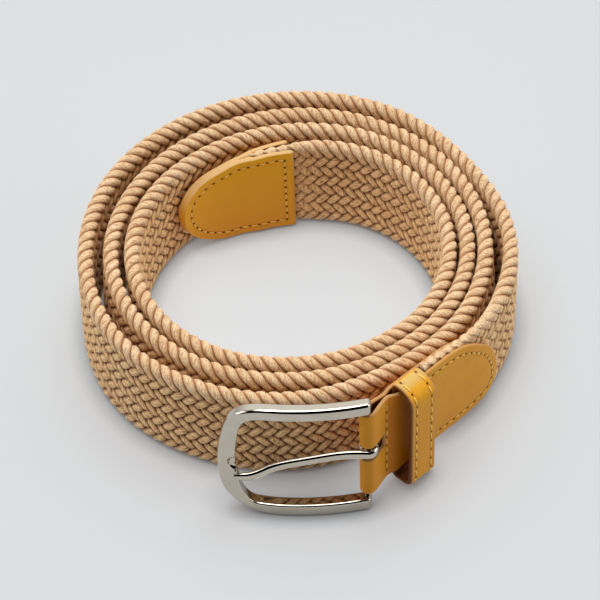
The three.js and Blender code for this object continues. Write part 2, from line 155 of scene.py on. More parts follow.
# The frame's outer x and z, then its inner x and z, from the top arm to the bottom arm
FRAME_TABLE = [
    (19.7, 49.0, 19.7, 44.8), (11.0, 49.0, 11.0, 44.8), (2.0, 49.0, 2.0, 44.8),
    (-6.0, 49.0, -7.0, 44.8), (-11.5, 48.8, -11.8, 44.6), (-15.3, 47.7, -14.2, 43.9),
    (-18.4, 45.4, -16.0, 42.4), (-20.6, 41.8, -17.1, 39.9), (-22.1, 37.0, -17.8, 36.6),
    (-23.2, 31.0, -18.5, 31.0), (-23.9, 25.0, -18.9, 25.2), (-24.1, 19.0, -18.7, 19.5),
    (-23.8, 14.2, -18.1, 14.6), (-22.8, 10.0, -17.2, 10.2), (-20.8, 6.6, -15.8, 7.2),
    (-18.0, 3.6, -13.9, 5.4), (-14.6, 1.5, -11.4, 5.0), (-10.5, 0.3, -7.5, 4.8),
    (-4.0, 0.0, -2.0, 4.8), (3.0, 0.0, 3.0, 4.8), (11.0, 0.0, 11.0, 4.8), (19.7, 0.0, 19.7, 4.8),
]

# The prong's line: x, y, z and size, from its tip to the start of its curl
PRONG_TABLE = [
    (-20.3, -72.5, 18.6, 0.55), (-18.0, -72.8, 18.9, 0.85), (-15.2, -73.0, 19.2, 1.0),
    (-12.4, -72.7, 20.0, 1.0), (-9.4, -72.1, 21.1, 1.0), (-5.5, -71.8, 22.3, 1.0),
    (2.5, -71.7, 24.0, 1.0), (10.0, -71.7, 25.5, 1.0), (14.0, -71.9, 26.0, 1.0),
]

# Camera fitted to the photo: millimetres in the part's frame, degrees, and pixels of a 600 pixel frame
CAMERA_PLACE = (0.6, -511.9, 624.3)
CAMERA_DOWN = 50.0
CAMERA_ROLL = 2.25
FOCAL_PIXELS = 2630.0
PHOTO_PIXELS = 600.0
SENSOR_WIDTH = 36.0


def smooth_table(rows):
    """A smooth curve through a table's rows, held level beyond its ends."""
    ordered = sorted(rows)
    xs = np.array([row[0] for row in ordered], float)
    ys = np.array([row[1] for row in ordered], float)
    last = len(xs) - 1
    before = np.maximum(np.arange(last + 1) - 1, 0)
    after = np.minimum(np.arange(last + 1) + 1, last)
    slopes = (ys[after] - ys[before]) / (xs[after] - xs[before])

    def curve(x):
        x = np.clip(np.asarray(x, float), xs[0], xs[last])
        i = np.clip(np.searchsorted(xs, x, side="right") - 1, 0, last - 1)
        span = xs[i + 1] - xs[i]
        t = (x - xs[i]) / span
        rest = 1 - t
        return (ys[i] * (1 + 2 * t) * rest ** 2 + ys[i + 1] * t ** 2 * (3 - 2 * t)
                + span * t * rest * (slopes[i] * rest - slopes[i + 1] * t))

    return curve


def straight_table(rows):
    ordered = sorted(rows)
    xs = [row[0] for row in ordered]
    ys = [row[1] for row in ordered]
    return lambda x: np.interp(x, xs, ys)


def smooth_step(x, low, high):
    t = np.clip((np.asarray(x, float) - low) / (high - low), 0, 1)
    return t * t * (3 - 2 * t)


def swell(x, shape):
    """Rises to the shape's depth over one stretch and falls back over another."""
    return shape["depth"] * smooth_step(x, *shape["from"]) * (1 - smooth_step(x, *shape["to"]))


def unit(vectors):
    return vectors / np.maximum(np.linalg.norm(vectors, axis=-1, keepdims=True), 1e-9)


def unit_circle(angles):
    return np.stack([np.cos(angles), np.sin(angles)], -1)


def left_of(way):
    return np.stack([-way[..., 1], way[..., 0]], -1)


def bell(offsets, width):
    """Weights of a bell curve over the offsets, which add up to one."""
    weights = np.exp(-0.5 * (offsets / width) ** 2)
    return weights / weights.sum()


def lengths_along(points):
    """Running length of a polyline at each of its points."""
    steps = np.linalg.norm(np.diff(points, axis=0), axis=1)
    return np.concatenate([[0], np.cumsum(steps)])


def interp_points(x, xs, points):
    return np.stack([np.interp(x, xs, points[:, k]) for k in (0, 1)], -1)


def closed(points):
    return np.concatenate([points, points[:1]])


def coil_rows():
    rows = list(TIP_PATH)
    for turn in range(FULL_TURNS + 1):
        rows += [(row[0] - 360 * turn, row[turn + 1]) for row in COIL_TABLE if row[turn + 1]]
    return rows + [(bearing + LAST_TURN, radius) for bearing, radius in BUCKLE_END]


radius_at = smooth_table(coil_rows())
rise_at = smooth_table(RISE_TABLE)
lean_at = smooth_table(LEAN_TABLE)
half_band_at = straight_table(SQUEEZE_TABLE)
fill_half_at = straight_table(FILL_TABLE)
strap_middle_at = smooth_table(STRAP_MIDDLE)


def path_point(bearing):
    return radius_at(bearing)[..., None] * unit_circle(np.radians(bearing))


def path_normal(bearing):
    """Outward normal, to the left of the way from the tip to the buckle."""
    return left_of(unit(path_point(bearing - 0.5) - path_point(bearing + 0.5)))


# Mesh making

MERGE_DISTANCE = 2e-6


def make_mesh(name, points, faces, attributes=None, uvs=None):
    """Smooth mesh from points in millimetres of the coil's frame and a list of arrays of corners."""
    points = np.asarray(points, float).copy()
    points[:, :2] += COIL_CENTRE
    mesh = bpy.data.meshes.new(name)
    loops = np.concatenate([group.ravel() for group in faces])
    sizes = np.concatenate([np.full(len(group), group.shape[1]) for group in faces])
    starts = np.concatenate([[0], np.cumsum(sizes)[:-1]])
    mesh.vertices.add(len(points))
    mesh.vertices.foreach_set("co", (points * MM).ravel())
    mesh.loops.add(len(loops))
    mesh.loops.foreach_set("vertex_index", loops)
    mesh.polygons.add(len(sizes))
    mesh.polygons.foreach_set("loop_start", starts)
    mesh.polygons.foreach_set("use_smooth", np.ones(len(sizes), bool))
    mesh.update(calc_edges=True)
    if uvs is not None:
        layer = mesh.uv_layers.new(name="UVMap")
        layer.data.foreach_set("uv", np.asarray(uvs, float)[loops].ravel())
    for key, values in (attributes or {}).items():
        layer = mesh.attributes.new(key, "FLOAT", "POINT")
        layer.data.foreach_set("value", np.asarray(values, float))
    mesh.validate()
    piece = bpy.data.objects.new(name, mesh)
    bpy.context.scene.collection.objects.link(piece)
    return piece


def tube_faces(rings, size):
    """Quads between rings of points, wound so that they face out when the rings turn left."""
    i, k = np.meshgrid(np.arange(rings - 1), np.arange(size), indexing="ij")
    a = i * size + k
    b = i * size + (k + 1) % size
    return np.stack([a, b, b + size, a + size], -1).reshape(-1, 4)


def cap_faces(rings, size):
    """A tube's two open ends, as one face each."""
    first = np.arange(size)[::-1][None, :]
    last = (rings - 1) * size + np.arange(size)[None, :]
    return [first, last]


def capped_tube(name, rings):
    """A closed tube through rings of as many points each."""
    faces = [tube_faces(len(rings), len(rings[0]))] + cap_faces(len(rings), len(rings[0]))
    return face_out(make_mesh(name, np.concatenate(rings), faces))


def face_out(piece):
    """Turns a closed mesh so that its faces look outwards."""
    mesh = bmesh.new()
    mesh.from_mesh(piece.data)
    bmesh.ops.remove_doubles(mesh, verts=mesh.verts, dist=MERGE_DISTANCE)
    bmesh.ops.recalc_face_normals(mesh, faces=mesh.faces)
    mesh.to_mesh(piece.data)
    mesh.free()
    return piece


# The braid: seventeen cords zigzag between the edges, over two and under two

CORD_COUNT = 17
CORD_PIECES = [range(0, 4), range(4, 8), range(8, 11), range(11, 14), range(14, CORD_COUNT)]
CORD_LEVELS = 17
CORD_STEP = 1.9
CORD_HALF_WIDTH = 1.5
EDGE_HALF_WIDTH = 1.44
CORD_HALF_DEPTH = 1.14
SQUASHED_CORD = 0.56
CORD_REACH = BAND_THICKNESS / 2 - CORD_HALF_DEPTH
CORD_BOXINESS = 0.72
CORD_SIDES = 8
CORD_SAMPLES = 4
CORD_GIRTH = 8.2

# In crossings from an edge: where the first float has its middle, and where the cord is rounder
FLOAT_MIDDLE = 1.5
ROUNDER = (1.0, 1.9)
EDGE_WRAP = 1.15
FLOAT_FLATNESS = 3.8

# Steps along a cord's cycle, and how many of them are blended into one another
CYCLE_STEP = 0.05
CYCLE_BLEND = 2.2
CYCLE_REACH = 20

# The braid gets lower into the tip, and higher so many degrees into the last turn, in the strap
IN_TIP = {"bearings": (86, 94), "squeeze": 0.97}
IN_STRAP = {"degrees": (22, 32), "stretch": 0.04}

# How much of the painted shade in the hollows is taken off where the braid is squeezed, so they show
# paler
SQUEEZED_GLOW = 0.5


def cord_cycle():
    """Tables of a cord's way up to the top edge and back, by how many crossings it has passed."""
    period = 2 * CORD_LEVELS
    places = np.arange(0, period, CYCLE_STEP)
    from_top = places - CORD_LEVELS
    from_foot = np.where(places > CORD_LEVELS, places - period, places)
    climbed = np.abs(from_foot)
    near_top = climbed > CORD_LEVELS / 2
    from_edge = np.where(near_top, from_top, from_foot)
    wrapped = np.clip(from_edge / EDGE_WRAP, -1, 1) * math.pi / 2
    edge = BAND_THICKNESS / 2
    levels = CORD_LEVELS - 2 * EDGE_WRAP
    height = edge + (BAND_HEIGHT - 2 * edge) / levels * np.clip(climbed - EDGE_WRAP, 0, levels)
    height += np.where(near_top, 1, -1) * CORD_REACH * np.cos(wrapped)
    # On a face it passes over two and under two; the first and last float run on round the edge
    wave = np.cos(math.pi * (np.mod(places, CORD_LEVELS) - FLOAT_MIDDLE) / 2)
    depth = np.tanh(FLOAT_FLATNESS * wave) / math.tanh(FLOAT_FLATNESS)
    depth = np.where(np.abs(from_edge) < FLOAT_MIDDLE, np.sin(wrapped), depth)
    turn = np.where(near_top, wrapped, -wrapped)
    at_edge = 1 - smooth_step(np.abs(from_edge), *ROUNDER)
    kernel = bell(np.arange(-CYCLE_REACH, CYCLE_REACH + 1), CYCLE_BLEND)
    blend = lambda values: np.convolve(np.pad(values, CYCLE_REACH, "wrap"), kernel, "valid")
    return places, [blend(values) for values in (height, depth, turn, at_edge)]


def shape_cord(index, bearings, lengths, places, rows):
    """One cord's rings and their running length, how far points stand out, and how near an edge."""
    period = 2 * CORD_LEVELS
    steps = np.arange(0, lengths[-1] / CORD_STEP, 1 / CORD_SAMPLES)
    bearing = np.interp(steps * CORD_STEP, lengths, bearings)
    place = np.mod(steps - 2 * index, period)
    height, depth, turn, at_edge = [np.interp(place, places, row, period=period) for row in rows]
    squeeze = half_band_at(bearing) / (BAND_THICKNESS / 2)
    lowered = smooth_step(bearing, *IN_TIP["bearings"]) * (1 - IN_TIP["squeeze"])
    raised = smooth_step(LAST_TURN - bearing, *IN_STRAP["degrees"]) * IN_STRAP["stretch"]
    from_middle = height - BAND_HEIGHT / 2
    height = height + from_middle * (raised - lowered)
    normal = path_normal(bearing)
    lean = lean_at(bearing) * (1 - height / BAND_HEIGHT)
    plan = path_point(bearing) + normal * (lean - depth * CORD_REACH * squeeze)[:, None]
    line = np.column_stack([plan, height + rise_at(bearing - LAST_TURN)])
    tangent = unit(np.gradient(line, axis=0))
    outward = np.column_stack([normal, np.zeros(len(normal))])
    thin = np.cos(turn)[:, None] * UP - np.sin(turn)[:, None] * outward
    thin = unit(thin - tangent * np.sum(thin * tangent, axis=1, keepdims=True))
    wide = np.cross(tangent, thin)
    angles = (np.arange(CORD_SIDES) + 0.5) * 2 * math.pi / CORD_SIDES
    cosines, sines = np.cos(angles), np.sin(angles)
    boxy = (CORD_BOXINESS + (1 - CORD_BOXINESS) * at_edge)[:, None]
    across = np.sign(cosines) * np.abs(cosines) ** boxy
    through = np.sign(sines) * np.abs(sines) ** boxy
    half_wide = CORD_HALF_WIDTH + (EDGE_HALF_WIDTH - CORD_HALF_WIDTH) * at_edge
    half_thin = np.maximum(CORD_HALF_DEPTH * squeeze, SQUASHED_CORD)
    half_thin = half_thin / math.cos(math.pi / CORD_SIDES)
    from_line = (wide[:, None, :] * (half_wide[:, None] * across)[..., None]
                 + thin[:, None, :] * (half_thin[:, None] * through)[..., None])
    # How far a point stands out from the band's middle, for painted shade in the hollows between the
    # cords
    out = np.sum(from_line * outward[:, None, :], -1) / squeeze[:, None]
    out = out - (depth * CORD_REACH)[:, None]
    above = np.abs(from_line[..., 2] + from_middle[:, None])
    beyond = np.maximum(above - (BAND_HEIGHT - BAND_THICKNESS) / 2, 0)
    proud = np.hypot(out, beyond) / (BAND_THICKNESS / 2) + SQUEEZED_GLOW * (1 - squeeze)[:, None]
    return line[:, None, :] + from_line, lengths_along(line), proud, at_edge


def build_cords():
    places, rows = cord_cycle()
    bearings = np.arange(CORDS_FROM, LAST_TURN + BAND_END, -COIL_STEP)
    lengths = lengths_along(path_point(bearings))
    for number, group in enumerate(CORD_PIECES):
        points, faces, caps, uvs, proud, rim = [], [], [], [], [], []
        count = 0
        for index in group:
            rings, travelled, standing, at_edge = shape_cord(index, bearings, lengths, places, rows)
            points.append(rings.reshape(-1, 3))
            faces.append(tube_faces(len(rings), CORD_SIDES) + count)
            caps += [cap + count for cap in cap_faces(len(rings), CORD_SIDES)]
            around = np.broadcast_to(np.arange(CORD_SIDES) / CORD_SIDES, standing.shape)
            uvs.append(np.stack([np.repeat(travelled, CORD_SIDES), around.ravel()], -1))
            proud.append(np.clip(standing.ravel(), 0, 1))
            rim.append(np.repeat(at_edge, CORD_SIDES))
            count += standing.size
        shade = {"proud": np.concatenate(proud), "rim": np.concatenate(rim)}
        piece = make_mesh("braid_cords_%d" % (number + 1), np.concatenate(points),
                          [np.concatenate(faces)] + caps, shade, np.concatenate(uvs))
        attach(piece, "strap")
        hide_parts("braided_band")


# Leather sheets that stand on a plan line

LINE_STEP = 0.2
GRID_STEP = 0.7
SHARP_ANGLE = 55
SEAM_GROOVE = {"depth": 0.16, "half_width": 0.55}
SEAM_INSET = 2.9
SEAM_PITCH = {"tip": 3.0, "strap": 3.2, "pinch": 3.7, "keeper": 4.15}

# Angles round a nose at which its rows of points and its seam's points stand
NOSE_ROWS = np.linspace(1.2, 90, 42)
NOSE_SEAM = np.linspace(0, 90, 46)

# How much of a rounded edge is painted, in roundings from the rim
PAINTED_RIM = (0.35, 1.1)


class PlanLine:
    """A dense plan curve with even steps. Left of its way is the leather's grain side."""

    def __init__(self, points, smoothing):
        lengths = lengths_along(points)
        self.length = lengths[-1]
        pad = 4 * smoothing
        places = np.arange(-pad, self.length + pad, LINE_STEP)
        line = interp_points(np.clip(places, 0, self.length), lengths, points)
        line += np.minimum(places, 0)[:, None] * unit(points[1] - points[0])
        line += np.maximum(places - self.length, 0)[:, None] * unit(points[-1] - points[-2])
        kernel = bell(np.arange(-pad, pad + LINE_STEP, LINE_STEP), smoothing)
        self.places = places
        self.line = np.stack([np.convolve(line[:, k], kernel, "same") for k in (0, 1)], -1)
        self.normals = left_of(unit(np.gradient(self.line, axis=0)))

    def place(self, s, z, raised):
        """Points of the sheet, raised millimetres to its grain side."""
        point = interp_points(s, self.places, self.line)
        normal = unit(interp_points(s, self.places, self.normals))
        plan = point + normal * np.asarray(raised)[..., None]
        return np.concatenate([plan, np.asarray(z, float)[..., None]], -1)


def distance_to(points, line):
    """Shortest distance from each point to a polyline, all in the flat sheet."""
    best = np.full(len(points), 1e9)
    for a, b in zip(line[:-1], line[1:]):
        way = b - a
        size = max(np.dot(way, way), 1e-12)
        t = np.clip(((points - a) @ way) / size, 0, 1)
        gap = np.linalg.norm(points - a - t[:, None] * way, axis=1)
        best = np.minimum(best, gap)
    return best


def ease(count, low=0.0, high=1.0):
    """Steps from low to high, closer together at both ends."""
    return low + (high - low) * 0.5 * (1 - np.cos(np.linspace(0, math.pi, count + 1)))


def rounded_half(gap, shape):
    """Half the thickness at a distance from the rim, where the edge is rounded."""
    depth = 1 - np.clip(gap / shape["rounding"], 0, 1)
    return shape["thickness"] / 2 * np.sqrt(np.clip(1 - depth ** 2, 0, 1))


def nowhere(s):
    return np.zeros(len(s))


def leather_sheet(name, line, grid, edges, shape, seams, painted, hole=None,
                  glued=nowhere, filling=nowhere, deep=nowhere):
    """A standing leather wall with rounded, painted edges and a shallow groove along its seams.

    Painted is how pale the rounded edge is at a place. By distance along the sheet, glued is where
    the back is flat up to the rim, filling how much thicker it is, and the last how much painted shade
    darkens the face.
    """
    stations, fractions = grid
    low, high = edges
    bottom = low(stations)[:, None]
    top = high(stations)[:, None]
    s = np.repeat(stations[:, None], len(fractions), 1)
    z = bottom + (top - bottom) * fractions[None, :]
    flat = np.stack([s.ravel(), z.ravel()], -1)
    outline = np.concatenate([np.stack([stations, low(stations)], -1),
                              np.stack([stations, high(stations)], -1)[::-1]])
    gap = distance_to(flat, closed(outline))
    rows = len(fractions)
    keep = np.ones((len(stations) - 1, rows - 1), bool)
    if hole:
        corners = np.array([[hole["from"], hole["bottom"]], [hole["to"], hole["bottom"]],
                            [hole["to"], hole["top"]], [hole["from"], hole["top"]]], float)
        gap = np.minimum(gap, distance_to(flat, closed(corners)))
        middle_s = (s[:-1, :-1] + s[1:, 1:]) / 2
        middle_z = (z[:-1, :-1] + z[1:, 1:]) / 2
        keep &= ~((middle_s > hole["from"]) & (middle_s < hole["to"])
                  & (middle_z > hole["bottom"]) & (middle_z < hole["top"]))
    half = rounded_half(gap, shape)
    groove = np.zeros(len(flat))
    for seam in seams:
        near = np.exp(-(distance_to(flat, seam) / SEAM_GROOVE["half_width"]) ** 2)
        groove = np.maximum(groove, near)
    s, z = flat.T
    outer = line.place(s, z, half - SEAM_GROOVE["depth"] * groove)
    inner = line.place(s, z, -half - glued(s) * (shape["thickness"] / 2 - half) - filling(s))
    count = len(flat)
    i, k = np.nonzero(keep)
    a = i * rows + k
    quads = np.stack([a, a + rows, a + rows + 1, a + 1], -1)
    # A strip all round joins the two sides, where the back is flat up to its rim
    corner = np.arange(count).reshape(len(stations), rows)
    rim = np.concatenate([corner[:-1, 0], corner[-1, :-1], corner[:0:-1, -1], corner[0, :0:-1]])
    ahead = np.roll(rim, -1)
    strip = np.stack([rim, rim + count, ahead + count, ahead], -1)
    faces = np.concatenate([quads, quads[:, ::-1] + count, strip])
    edge = 1 - smooth_step(gap / shape["rounding"], *PAINTED_RIM)
    paint = edge * painted(s, z)
    shade = {"edge": np.tile(paint, 2), "groove": np.concatenate([groove, np.zeros(count)]),
             "flesh": np.concatenate([np.zeros(count), 1 - edge]), "deep": np.tile(deep(s), 2)}
    points = np.concatenate([outer, inner])
    piece = face_out(make_mesh(name, points, [faces], shade, np.tile(flat, (2, 1))))
    piece.data.set_sharp_from_angle(angle=math.radians(SHARP_ANGLE))
    return piece


# Threads, and the pierced holes between them as rings of a share of the radius and a height
THREAD = {"gap": 1.05, "radius": 0.29, "bluntness": 2.6, "flatness": 0.5, "lift": 0.16, "dive": 0.3,
          "tilt": 7, "uneven_tilt": 3, "uneven_length": 0.04, "sides": 8, "rings": 7}
HOLE = {"radius": 0.38, "rings": ((0.6, -0.3), (1.0, 0.03), (0.8, 0.07), (0.35, 0.07))}
STITCH_SINK = 0.12


def even_points(line, pitch, start=0.5):
    """Points and directions at an even pitch along a polyline."""
    lengths = lengths_along(line)
    count = max(int(round(lengths[-1] / pitch)), 1)
    places = (np.arange(count) + start) * lengths[-1] / count
    at = lambda x: interp_points(x, lengths, line)
    way = at(np.minimum(places + 0.3, lengths[-1])) - at(np.maximum(places - 0.3, 0))
    return at(places), unit(way)


def stitch_row(name, seams, surface, body):
    """Threads along (line, pitch) seams and holes between them, through surface(flat, raised)."""
    rng = np.random.default_rng(7)
    sides = THREAD["sides"]
    circle = unit_circle(np.arange(sides) * 2 * math.pi / sides)
    along = np.linspace(-1, 1, THREAD["rings"])
    profile = np.sqrt(np.clip(1 - np.abs(along) ** THREAD["bluntness"], 0.02, 1)) * THREAD["radius"]
    lift = profile[:, None] * circle[:, 1] * THREAD["flatness"]
    lift = lift + THREAD["lift"] - THREAD["dive"] * along[:, None] ** 4
    threads, holes = [], []
    for seam, pitch in seams:
        for spot, way in zip(*even_points(seam, pitch)):
            tilt = math.radians(THREAD["tilt"] + rng.normal(0, THREAD["uneven_tilt"]))
            turned = way * math.cos(tilt) + left_of(way) * math.sin(tilt)
            half = (pitch - THREAD["gap"]) / 2 * (1 + rng.normal(0, THREAD["uneven_length"]))
            middle = spot + turned * (along * half)[:, None]
            flat = middle[:, None, :] + left_of(turned) * (profile[:, None] * circle[:, 0])[..., None]
            threads.append(surface(flat.reshape(-1, 2), lift.ravel()))
        for spot in even_points(seam, pitch, 0.0)[0]:
            flat = [spot + circle * HOLE["radius"] * share for share, height in HOLE["rings"]]
            heights = np.repeat([height for share, height in HOLE["rings"]], sides)
            holes.append(surface(np.concatenate(flat), heights))
    for kind, tubes, rings in (("thread", threads, THREAD["rings"]),
                               ("holes", holes, len(HOLE["rings"]))):
        starts = np.arange(len(tubes))[:, None, None] * rings * sides
        groups = [tube_faces(rings, sides)] + cap_faces(rings, sides)
        faces = [(group[None] + starts).reshape(-1, group.shape[1]) for group in groups]
        piece = face_out(make_mesh("%s_%s" % (name, kind), np.concatenate(tubes), faces))
        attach(piece, body)


def sheet_surface(line, shape):
    """Where a stitch on the sheet's face lies, for stitch_row."""
    face = shape["thickness"] / 2 - STITCH_SINK
    return lambda flat, raised: line.place(flat[:, 0], flat[:, 1], face + raised)


def nose_places(shape, angles):
    """Distances from a nose, closer together near it."""
    return shape["nose_length"] * (1 - np.cos(np.radians(angles)))


def nose_half(shape, from_nose):
    t = 1 - np.minimum(from_nose, shape["nose_length"]) / shape["nose_length"]
    return shape["half"] * np.sqrt(np.clip(1 - t * t, 0, 1))


def span(start, end, step):
    return np.linspace(start, end, int((end - start) / step) + 2)


def tongue_seam(shape, total, end, count, edges, flip):
    """Stitch line from a tongue's foot round its nose and back, with count places to its end."""
    places = np.concatenate([nose_places(shape, NOSE_SEAM),
                             np.linspace(shape["nose_length"], end, count)[1:]])
    stations = total - places if flip else places
    lower, upper = [np.stack([stations, edge(stations)], -1) for edge in edges]
    outline = np.concatenate([lower[::-1], upper[1:]])
    inward = left_of(unit(np.gradient(outline, axis=0))) * (1 if flip else -1)
    return outline + inward * SEAM_INSET


# The tip: two plies, glued from the nose to the first cords

TIP_ROWS = 56
TIP_BLEND = 0.8

# The share of the pale edge tone below, and the height above the middle over which it gets full
TIP_PAINT = {"least": 0.2, "over": 12}

# The glue and the filling end so many degrees before the cords, and fade from and to so far there
GLUE_END = {"degrees": 5, "from": -1.5, "to": 1.5}
FILLING_END = {"degrees": 0.5, "from": -0.8, "to": 0.6}


def build_tip():
    # From a little before the nose to past the ends of both plies
    bearings = np.arange(TIP["nose"] + 3, TIP["nose"] - 60, -COIL_STEP)
    lengths = lengths_along(path_point(bearings))
    lengths -= np.interp(-TIP["nose"], -bearings, lengths)
    for name, side, length in (("tip_front_ply", -1, TIP["length"]),
                               ("tip_back_ply", 1, TIP["back_length"])):
        chosen = (lengths >= -1e-6) & (lengths <= length)
        build_ply(name, side, bearings[chosen], lengths[chosen])


def build_ply(name, side, bearings, lengths):
    """One ply, on the inner (-1) or the outer (1) side of the band's end."""
    apart = 1 - smooth_step(bearings, CORDS_FROM - PARTING["after"], CORDS_FROM + PARTING[name])
    room = (half_band_at(bearings) + CLEARANCE) * apart
    offset = side * (room + TIP["thickness"] / 2)
    points = path_point(bearings) + path_normal(bearings) * offset[:, None]
    # Grain side to the left of the way: the outer ply is followed from nose to end
    flip = side < 0
    line = PlanLine(points[::-1] if flip else points, TIP_BLEND)
    total = line.length
    beyond = span(TIP["nose_length"], total, GRID_STEP)[1:]
    stations = np.concatenate([nose_places(TIP, NOSE_ROWS), beyond])
    if flip:
        stations = (total - stations)[::-1]

    def from_nose(s):
        """Distance along the band's middle, so that both plies are as high at a place."""
        return (total - s if flip else s) * lengths[-1] / total

    def middle(s):
        return TIP["middle"] - swell(from_nose(s), TIP_SAG)

    def low(s):
        return middle(s) - nose_half(TIP, from_nose(s))

    def high(s):
        return middle(s) + nose_half(TIP, from_nose(s)) - swell(from_nose(s), TIP_DIP)

    def before(s, end):
        at = np.interp(-CORDS_FROM - end["degrees"], -bearings, lengths)
        return 1 - smooth_step(from_nose(s), at + end["from"], at + end["to"])

    def filling(s):
        """Up to the first cords the plies are thick enough to meet."""
        return np.interp(from_nose(s), lengths, room) * before(s, FILLING_END)

    def painted(s, z):
        """The cut edge shows pale above, and takes the face's tone below."""
        above = smooth_step(z, TIP["middle"], TIP["middle"] + TIP_PAINT["over"])
        return TIP_PAINT["least"] + (1 - TIP_PAINT["least"]) * above

    seam = closed(tongue_seam(TIP, total, total - SEAM_INSET, 20, (low, high), flip))
    piece = leather_sheet(name + "_leather", line, (stations, ease(TIP_ROWS)), (low, high), TIP, [seam],
                          painted, glued=lambda s: before(s, GLUE_END), filling=filling)
    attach(piece, "strap")
    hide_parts(name)
    stitch_row(name + "_stitch", [(seam, SEAM_PITCH["tip"])], sheet_surface(line, TIP), "strap")


# The buckle's strap: front ply, fold round the bar, back ply

STRAP_BLEND = 0.7
UNDER_KEEPER = 40.0

# Half the angle at the bar in which the plies leave the fold's arc, and their half gap there
FOLD_TOUCH = 77
FOLD_GAP = 0.1

# The bearings where the plies have closed on each other and where they hold the keeper
FOLD_CLOSING = (LAST_TURN - 70.2, LAST_TURN - 66.6)

# Extra rows of points beside the slot, for its rounded rim, and how far off the even rows end
SLOT_RIM = np.array([0.05, 0.15, 0.3, 0.5])
BESIDE_SLOT = 0.8

# The stitches across the strap beside the slot, and how far they keep from its edges
PINCH = {"from_slot": 1.1, "above": 3.4, "below": 2.2}

# The front nose's edge is less pale, and the part by the keeper gets painted shade, the keeper's shadow
STRAP_PAINT = {"least": 0.75, "full": (36, 42)}
STRAP_SHADE = {"light": 0.35, "light_from": (30, 36), "full_from": (33, 36), "before_slot": 2.2}


def strap_line():
    """Plan of the folded strap's middle."""
    bearings = np.arange(LAST_TURN + STRAP["nose"], LAST_TURN + FOLD_BEARING - 1e-6, -COIL_STEP / 2)
    shut = FOLD_GAP + STRAP["thickness"] / 2
    filled = fill_half_at(bearings) + CLEARANCE + STRAP["thickness"] / 2
    offset = shut + (filled - shut) * smooth_step(bearings, *FOLD_CLOSING)
    points = path_point(bearings)
    out = path_normal(bearings) * offset[:, None]
    radius = BAR["radius"] + CLEARANCE + STRAP["thickness"] / 2
    towards = points[-1] - BAR_AXIS
    middle = math.atan2(towards[1], towards[0])
    touch = math.radians(FOLD_TOUCH)
    turns = middle - touch - np.linspace(0, 2 * math.pi - 2 * touch, 60)
    fold = BAR_AXIS + radius * unit_circle(turns)
    return PlanLine(np.concatenate([points + out, fold, (points - out)[::-1]]), STRAP_BLEND)


def build_strap():
    line = strap_line()
    total = line.length
    places = np.linspace(0, total, 2000)
    plan = line.place(places, places * 0, places * 0)[:, :2]
    near = places[np.linalg.norm(plan - BAR_AXIS, axis=1) < SLOT["radius"]]
    slot_from, slot_to = near[0], near[-1]

    def from_nose(s):
        return np.minimum(s, total - s)

    def low(s):
        f = from_nose(s)
        lobe = STRAP_LOBE["depth"] * smooth_step(f, *STRAP_LOBE["from"])
        return strap_middle_at(f) - nose_half(STRAP, f) - lobe

    def high(s):
        f = from_nose(s)
        return strap_middle_at(f) + nose_half(STRAP, f) - swell(f, STRAP_SHOULDER)

    def painted(s, z):
        return STRAP_PAINT["least"] + (1 - STRAP_PAINT["least"]) * smooth_step(s, *STRAP_PAINT["full"])

    # Painted shade: the keeper's shadow on the ply, from under the keeper to the pinch
    def deep(s):
        f = from_nose(s)
        before_slot = 1 - smooth_step(f, slot_from - STRAP_SHADE["before_slot"], slot_from)
        full = (1 - STRAP_SHADE["light"]) * smooth_step(f, *STRAP_SHADE["full_from"]) * before_slot
        return STRAP_SHADE["light"] * smooth_step(f, *STRAP_SHADE["light_from"]) + full

    nose = nose_places(STRAP, NOSE_ROWS)
    stations = np.concatenate([
        nose,
        span(STRAP["nose_length"], slot_from - BESIDE_SLOT, GRID_STEP)[1:],
        slot_from - SLOT_RIM[::-1],
        span(slot_from, slot_to, GRID_STEP / 2),
        slot_to + SLOT_RIM,
        span(slot_to + BESIDE_SLOT, total - STRAP["nose_length"], GRID_STEP)[:-1],
        (total - nose)[::-1],
    ])
    half_way = np.array([total / 2])
    at_fold = low(half_way)[0]
    height = high(half_way)[0] - at_fold
    slot_low = (SLOT["bottom"] - at_fold) / height
    slot_high = (SLOT["top"] - at_fold) / height
    fractions = np.concatenate([
        ease(30, 0, slot_low), ease(8, slot_low, slot_high)[1:], ease(30, slot_high, 1)[1:],
    ])
    hole = {"from": slot_from, "to": slot_to, "bottom": SLOT["bottom"], "top": SLOT["top"]}
    seams = []
    for flip in (False, True):
        nose_seam = tongue_seam(STRAP, total, UNDER_KEEPER, 24, (low, high), flip)
        seams.append((nose_seam, SEAM_PITCH["strap"]))
        pinch = slot_from - PINCH["from_slot"]
        at = np.full(12, total - pinch if flip else pinch)
        rows = np.linspace(low(at)[0] + PINCH["above"], high(at)[0] - PINCH["below"], 12)
        seams.append((np.stack([at, rows], -1), SEAM_PITCH["pinch"]))
    piece = leather_sheet("buckle_strap_leather", line, (stations, fractions), (low, high), STRAP,
                          [seam for seam, pitch in seams], painted, hole, deep=deep)
    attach(piece, "strap")
    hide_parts("buckle_strap")
    stitch_row("buckle_strap_stitch", seams, sheet_surface(line, STRAP), "strap")


# The keeper loop

KEEPER_GROOVE = {"depth": 0.14, "half_width": 0.5}
KEEPER_SEAM_FROM = 0.6
LOOP_STEP = 0.6

# In roundings from the rim: where the bare cut gives way to the paint, and the paint to the dye
KEEPER_RIM = {"cut": (0.3, 0.6), "paint": (1.0, 1.8)}

# The top, where the loop bends over the strap, gets a paler painted sheen, by how far its face turns
# upwards
KEEPER_SHEEN = (0.8, 1.0)


